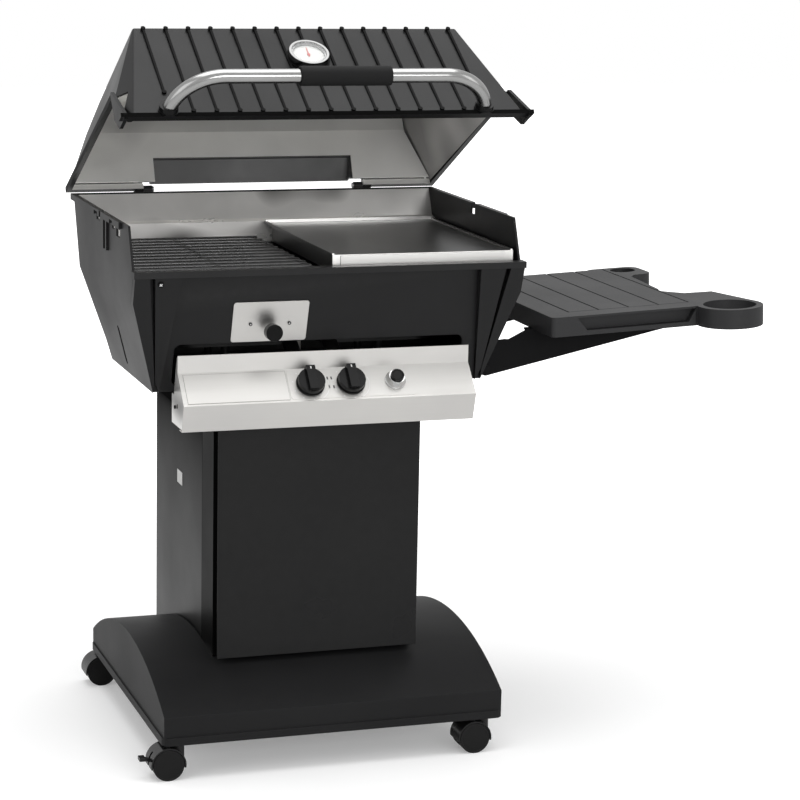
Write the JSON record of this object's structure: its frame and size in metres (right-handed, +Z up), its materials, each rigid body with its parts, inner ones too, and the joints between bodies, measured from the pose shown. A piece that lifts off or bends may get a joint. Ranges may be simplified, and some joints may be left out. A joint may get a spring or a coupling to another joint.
{
  "type": "gas grill",
  "caption": "Gas grill on a post-and-arch cart with casters, cast firebox and open ribbed lid, cooking grid and griddle, slanted control panel and fold-down side shelf",
  "frame": {"origin": "on the floor under the middle of the whole grill, side shelf out and lid open", "axes": "X across to the side shelf, front towards -Y, Z up"},
  "size_m": [1.1528, 0.6198, 1.2488],
  "materials": {
    "cast_black": "satin black heat paint on cast aluminium",
    "sheet_black": "satin black paint on sheet steel",
    "arm_black": "matte black paint on steel plate",
    "stainless": "brushed stainless steel",
    "stainless_dull": "dull stainless steel",
    "steel_tube": "bright brushed steel",
    "zinc": "plain zinc-plated steel",
    "can": "plain pressed aluminium",
    "grid_iron": "dark enamelled iron",
    "griddle_iron": "dark seasoned plate",
    "valve_brass": "plain brass",
    "collar_chrome": "bright chrome",
    "base_plastic": "textured charcoal plastic",
    "shelf_plastic": "textured dark grey plastic",
    "knob_plastic": "semi-gloss black plastic",
    "caster_plastic": "black nylon",
    "wheel_rubber": "black tread",
    "spark_white": "glazed insulator",
    "label_grey": "blank plate",
    "dial_white": "white enamel",
    "needle_red": "red enamel",
    "dial_glass": "clear glass"
  },
  "bodies": {
    "cart": {"base_cover": "base_plastic", "base_frame": "sheet_black", "post_shell": "sheet_black", "post_frame": "sheet_black", "post_top_plate": "sheet_black", "door_hinge_pins": "zinc", "blank_label": "label_grey", "firebox": "cast_black", "firebox_liner": "stainless_dull", "burner_left": "stainless_dull", "burner_right": "stainless_dull", "spark_electrode": "spark_white", "heat_plates": "stainless_dull", "drip_hanger": "stainless_dull", "pull_plate": "stainless", "control_panel": "stainless", "panel_cheeks": "stainless_dull", "dial_plate": "stainless", "valve_left": "valve_brass", "valve_right": "valve_brass", "gas_manifold": "zinc", "spark_collar": "collar_chrome", "spark_module": "knob_plastic", "lid_hinge_pins": "zinc", "shelf_bracket": "arm_black", "shelf_pivot_bolts": "zinc", "screws": "arm_black"},
    "caster_fl": {"caster_hood_fl": "caster_plastic"},
    "wheels_fl": {"caster_wheels_fl": "wheel_rubber"},
    "caster_fr": {"caster_hood_fr": "caster_plastic"},
    "wheels_fr": {"caster_wheels_fr": "wheel_rubber"},
    "caster_bl": {"caster_hood_bl": "caster_plastic"},
    "wheels_bl": {"caster_wheels_bl": "wheel_rubber"},
    "caster_br": {"caster_hood_br": "caster_plastic"},
    "wheels_br": {"caster_wheels_br": "wheel_rubber"},
    "brake_fl": {"brake_lever_fl": "caster_plastic"},
    "brake_br": {"brake_lever_br": "caster_plastic"},
    "door": {"post_door": "sheet_black"},
    "grid": {"cooking_grid": "grid_iron"},
    "griddle": {"griddle": "griddle_iron"},
    "drip_can": {"drip_can": "can"},
    "shutter": {"shutter_rod": "stainless_dull", "shutter_plate": "stainless_dull", "shutter_knob": "knob_plastic"},
    "knob_left": {"knob_left": "knob_plastic"},
    "knob_right": {"knob_right": "knob_plastic"},
    "spark_button": {"spark_button": "knob_plastic"},
    "lid": {"lid_casting": "cast_black", "lid_liner": "stainless_dull", "handle_tube": "steel_tube", "handle_grip": "knob_plastic", "handle_feet": "knob_plastic", "thermometer_case": "steel_tube", "thermometer_dial": "dial_white", "thermometer_glass": "dial_glass"},
    "needle": {"thermometer_needle": "needle_red"},
    "shelf": {"shelf_board": "shelf_plastic", "shelf_arms": "arm_black", "shelf_lock_bolts": "zinc"}
  },
  "joints": [
    {"name": "caster_fl_swivel", "type": "hinge", "parent": "cart", "child": "caster_fl", "pos_m": [-0.49094, -0.2759, 0.0635], "axis": [0, 0, 1], "continuous": true},
    {"name": "wheels_fl_roll", "type": "hinge", "parent": "caster_fl", "child": "wheels_fl", "pos_m": [-0.51094, -0.2759, 0.027], "axis": [0, 1, 0], "continuous": true},
    {"name": "caster_fr_swivel", "type": "hinge", "parent": "cart", "child": "caster_fr", "pos_m": [0.05906, -0.2759, 0.0635], "axis": [0, 0, 1], "continuous": true},
    {"name": "wheels_fr_roll", "type": "hinge", "parent": "caster_fr", "child": "wheels_fr", "pos_m": [0.03906, -0.2759, 0.027], "axis": [0, 1, 0], "continuous": true},
    {"name": "caster_bl_swivel", "type": "hinge", "parent": "cart", "child": "caster_bl", "pos_m": [-0.49094, 0.2681, 0.0635], "axis": [0, 0, 1], "continuous": true},
    {"name": "wheels_bl_roll", "type": "hinge", "parent": "caster_bl", "child": "wheels_bl", "pos_m": [-0.51094, 0.2681, 0.027], "axis": [0, 1, 0], "continuous": true},
    {"name": "caster_br_swivel", "type": "hinge", "parent": "cart", "child": "caster_br", "pos_m": [0.05906, 0.2681, 0.0635], "axis": [0, 0, 1], "continuous": true},
    {"name": "wheels_br_roll", "type": "hinge", "parent": "caster_br", "child": "wheels_br", "pos_m": [0.03906, 0.2681, 0.027], "axis": [0, 1, 0], "continuous": true},
    {"name": "brake_fl_press", "type": "hinge", "parent": "caster_fl", "child": "brake_fl", "pos_m": [-0.53094, -0.2759, 0.031], "axis": [0, -1, 0], "range_deg": [0, 20]},
    {"name": "brake_br_press", "type": "hinge", "parent": "caster_br", "child": "brake_br", "pos_m": [0.01906, 0.2681, 0.031], "axis": [0, -1, 0], "range_deg": [0, 20]},
    {"name": "door_hinge", "type": "hinge", "parent": "cart", "child": "door", "pos_m": [-0.04494, -0.1609, 0.37606], "axis": [0, 0, 1], "range_deg": [0, 95]},
    {"name": "grid_lift", "type": "slide", "parent": "cart", "child": "grid", "axis": [0, 0, 1], "range_m": [0, 0.07]},
    {"name": "griddle_lift", "type": "slide", "parent": "cart", "child": "griddle", "axis": [0, 0, 1], "range_m": [0, 0.07]},
    {"name": "drip_can_slide", "type": "slide", "parent": "cart", "child": "drip_can", "axis": [0, -1, 0], "range_m": [0, 0.1]},
    {"name": "shutter_pull", "type": "slide", "parent": "cart", "child": "shutter", "axis": [0, -1, 0], "range_m": [0, 0.03]},
    {"name": "knob_left_turn", "type": "hinge", "parent": "cart", "child": "knob_left", "pos_m": [-0.24994, -0.22482, 0.65826], "axis": [0, -0.7193, 0.6947], "range_deg": [0, 135]},
    {"name": "knob_right_turn", "type": "hinge", "parent": "cart", "child": "knob_right", "pos_m": [-0.17794, -0.22482, 0.65826], "axis": [0, -0.7193, 0.6947], "range_deg": [0, 135]},
    {"name": "spark_push", "type": "slide", "parent": "cart", "child": "spark_button", "axis": [0, 0.7193, -0.6947], "range_m": [0, 0.005], "stiffness_N_per_m": 900, "springref_m": -0.003},
    {"name": "lid_hinge", "type": "hinge", "parent": "cart", "child": "lid", "pos_m": [-0.21594, 0.2721, 0.936], "axis": [-1, 0, 0], "range_deg": [-27.2, 0]},
    {"name": "needle_turn", "type": "hinge", "parent": "lid", "child": "needle", "pos_m": [-0.21994, -0.08522, 1.19841], "axis": [0, -0.5166, 0.8563], "range_deg": [-120, 120]},
    {"name": "shelf_fold", "type": "hinge", "parent": "cart", "child": "shelf", "pos_m": [0.09839, 0.0371, 0.657], "axis": [0, 1, 0], "range_deg": [0, 90]}
  ]
}
